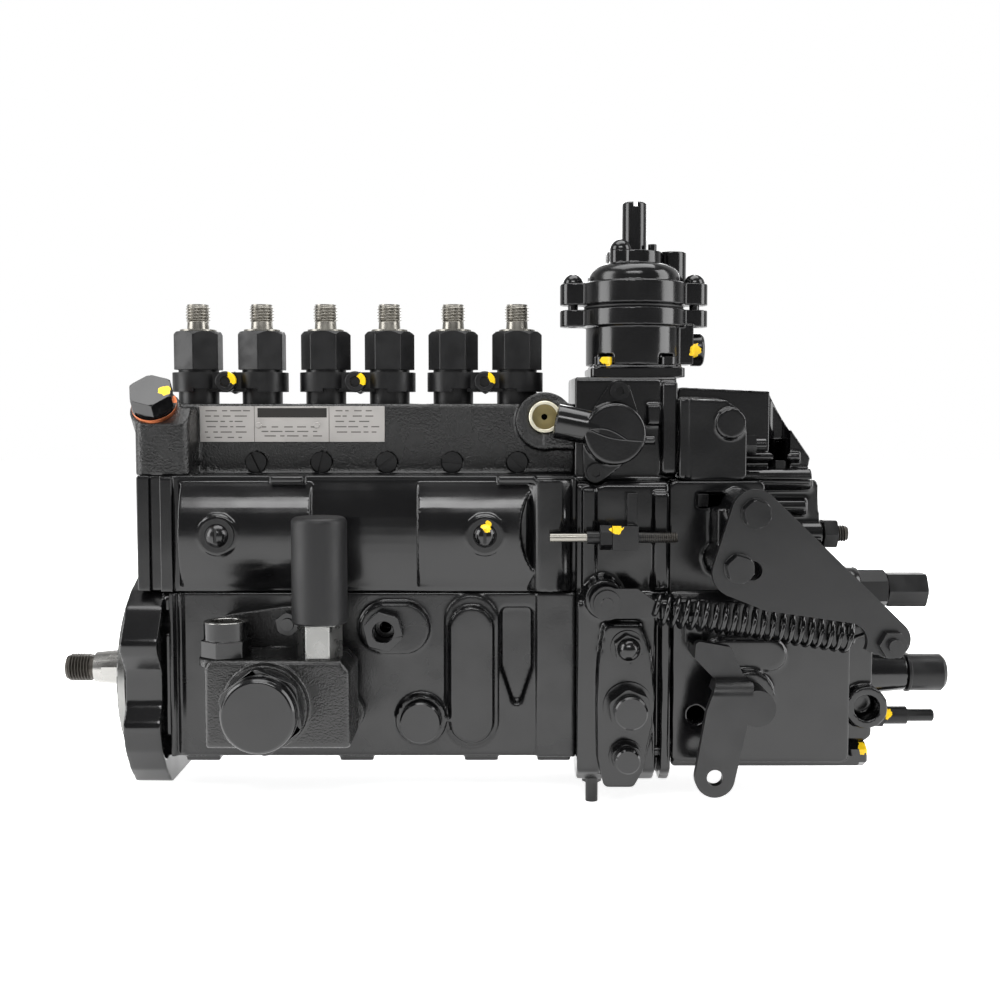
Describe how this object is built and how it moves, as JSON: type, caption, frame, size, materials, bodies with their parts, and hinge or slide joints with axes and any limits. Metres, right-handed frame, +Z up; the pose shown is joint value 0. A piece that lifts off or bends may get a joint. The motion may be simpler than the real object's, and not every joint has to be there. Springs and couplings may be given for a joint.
{
  "type": "diesel injection pump",
  "caption": "In-line diesel injection pump with flange drive, feed pump with hand primer, mechanical governor with speed lever, and a boost compensator on top.",
  "frame": {"origin": "on the camshaft axis at the mounting face of the drive flange", "axes": "+X along the camshaft from the drive flange to the governor, +Z up along the pumping elements, -Y towards the side with the feed pump and the levers"},
  "size_m": [0.4397, 0.1691, 0.2905],
  "materials": {
    "black_enamel": "thick glossy black enamel over the casting",
    "bright_steel": "bare machined steel",
    "cast_enamel": "glossy black enamel over rough sand casting",
    "gasket_paper": "oil soaked gasket paper",
    "inner_steel": "hardened and ground steel, oiled",
    "nitrile": "black oil resistant rubber",
    "spring_steel": "blued spring wire",
    "yellow_plate": "yellow passivated zinc plate"
  },
  "bodies": {
    "casing": {"adjusting_screws": "black_enamel", "barrels": "inner_steel", "bearing_cups": "inner_steel", "boost_adapter": "black_enamel", "boost_adjuster": "black_enamel", "boost_cover": "black_enamel", "boost_diaphragm": "nitrile", "boost_lower_case": "black_enamel", "boost_screws": "black_enamel", "clamp_screws": "black_enamel", "delivery_valve_holders": "black_enamel", "delivery_valves": "inner_steel", "drive_flange": "black_enamel", "drive_seals": "nitrile", "feed_inlet_union": "bright_steel", "feed_piston": "inner_steel", "feed_pump_body": "black_enamel", "feed_pump_plug": "black_enamel", "feed_pump_tappet": "inner_steel", "fuel_port_sleeve": "yellow_plate", "gaskets": "gasket_paper", "governor_cover": "cast_enamel", "governor_housing": "cast_enamel", "governor_plugs": "black_enamel", "governor_screws": "black_enamel", "governor_sleeve": "inner_steel", "governor_spring": "spring_steel", "governor_top_cover": "cast_enamel", "holder_clamps": "black_enamel", "housing_plugs": "black_enamel", "housing_screws": "black_enamel", "idle_capsule": "black_enamel", "name_plate": "black_enamel", "oil_inlet_fitting": "black_enamel", "plunger_springs": "spring_steel", "priming_barrel": "black_enamel", "pump_housing": "cast_enamel", "rack_cap": "black_enamel", "return_spring": "black_enamel", "roller_tappets": "inner_steel", "side_cover": "black_enamel", "spring_anchor": "black_enamel", "stops": "black_enamel", "tension_lever": "inner_steel", "vent_screw": "black_enamel"},
    "camshaft": {"camshaft": "bright_steel", "bearing_cones": "inner_steel", "flyweights": "inner_steel"},
    "rack": {"control_rack": "inner_steel"},
    "primer": {"priming_knob": "black_enamel", "priming_piston": "inner_steel"},
    "speed_lever": {"control_lever": "black_enamel", "control_shaft": "inner_steel"},
    "spring_bracket": {"spring_bracket": "black_enamel"},
    "element_1": {"plunger_and_sleeve_1": "inner_steel"},
    "element_2": {"plunger_and_sleeve_2": "inner_steel"},
    "element_3": {"plunger_and_sleeve_3": "inner_steel"},
    "element_4": {"plunger_and_sleeve_4": "inner_steel"},
    "element_5": {"plunger_and_sleeve_5": "inner_steel"},
    "element_6": {"plunger_and_sleeve_6": "inner_steel"}
  },
  "joints": [
    {"name": "camshaft_turn", "type": "hinge", "parent": "casing", "child": "camshaft", "pos_m": [0, 0, 0], "axis": [1, 0, 0], "continuous": true},
    {"name": "rack_slide", "type": "slide", "parent": "casing", "child": "rack", "axis": [1, 0, 0], "range_m": [-0.0105, 0.0105]},
    {"name": "primer_pull", "type": "slide", "parent": "casing", "child": "primer", "axis": [0, 0, 1], "range_m": [0, 0.024]},
    {"name": "speed_lever_turn", "type": "hinge", "parent": "casing", "child": "speed_lever", "pos_m": [0.2917, -0.08, -0.0021], "axis": [0, -1, 0], "range_deg": [0, 35]},
    {"name": "bracket_swing", "type": "hinge", "parent": "casing", "child": "spring_bracket", "pos_m": [0.2893, -0.084, 0.0853], "axis": [0, 1, 0], "range_deg": [0, 12], "deforming": ["return_spring"]},
    {"name": "element_turn_1", "type": "hinge", "parent": "casing", "child": "element_1", "pos_m": [0.0255, 0, 0.084], "axis": [0, 0, 1], "range_deg": [-39.59, 39.59]},
    {"name": "element_turn_2", "type": "hinge", "parent": "casing", "child": "element_2", "pos_m": [0.0575, 0, 0.084], "axis": [0, 0, 1], "range_deg": [-39.59, 39.59]},
    {"name": "element_turn_3", "type": "hinge", "parent": "casing", "child": "element_3", "pos_m": [0.0895, 0, 0.084], "axis": [0, 0, 1], "range_deg": [-39.59, 39.59]},
    {"name": "element_turn_4", "type": "hinge", "parent": "casing", "child": "element_4", "pos_m": [0.1215, 0, 0.084], "axis": [0, 0, 1], "range_deg": [-39.59, 39.59]},
    {"name": "element_turn_5", "type": "hinge", "parent": "casing", "child": "element_5", "pos_m": [0.1535, 0, 0.084], "axis": [0, 0, 1], "range_deg": [-39.59, 39.59]},
    {"name": "element_turn_6", "type": "hinge", "parent": "casing", "child": "element_6", "pos_m": [0.1855, 0, 0.084], "axis": [0, 0, 1], "range_deg": [-39.59, 39.59]}
  ],
  "couplings": [
    {"joint": "element_turn_1", "follows": "rack_slide", "rad_per_m": -65.8},
    {"joint": "element_turn_2", "follows": "rack_slide", "rad_per_m": -65.8},
    {"joint": "element_turn_3", "follows": "rack_slide", "rad_per_m": -65.8},
    {"joint": "element_turn_4", "follows": "rack_slide", "rad_per_m": -65.8},
    {"joint": "element_turn_5", "follows": "rack_slide", "rad_per_m": -65.8},
    {"joint": "element_turn_6", "follows": "rack_slide", "rad_per_m": -65.8}
  ]
}
